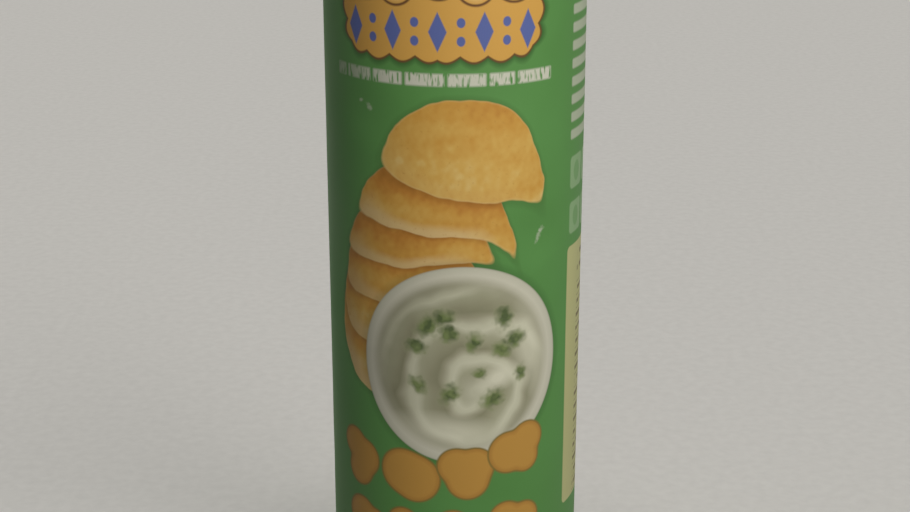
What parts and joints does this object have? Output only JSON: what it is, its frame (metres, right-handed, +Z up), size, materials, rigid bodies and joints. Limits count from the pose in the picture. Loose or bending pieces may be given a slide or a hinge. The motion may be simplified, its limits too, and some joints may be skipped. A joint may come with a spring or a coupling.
{
  "type": "potato crisp tube",
  "caption": "Shut round board tube of stacked potato crisps with a green printed label, a seamed steel end and a push-fit plastic lid.",
  "frame": {"origin": "middle of the ring that the tube stands on", "axes": "+Z up along the tube's axis, the front of the label towards -Y, +X to the right of that front"},
  "size_m": [0.0798, 0.0798, 0.235],
  "materials": {
    "steel": "satin tinplate",
    "printed_label": "printed and varnished paper over board, satin gloss",
    "lid_plastic": "moulded soft plastic, satin"
  },
  "bodies": {
    "root": {"steel_end": "steel", "board_tube": "printed_label", "plastic_lid": "lid_plastic"}
  },
  "joints": []
}
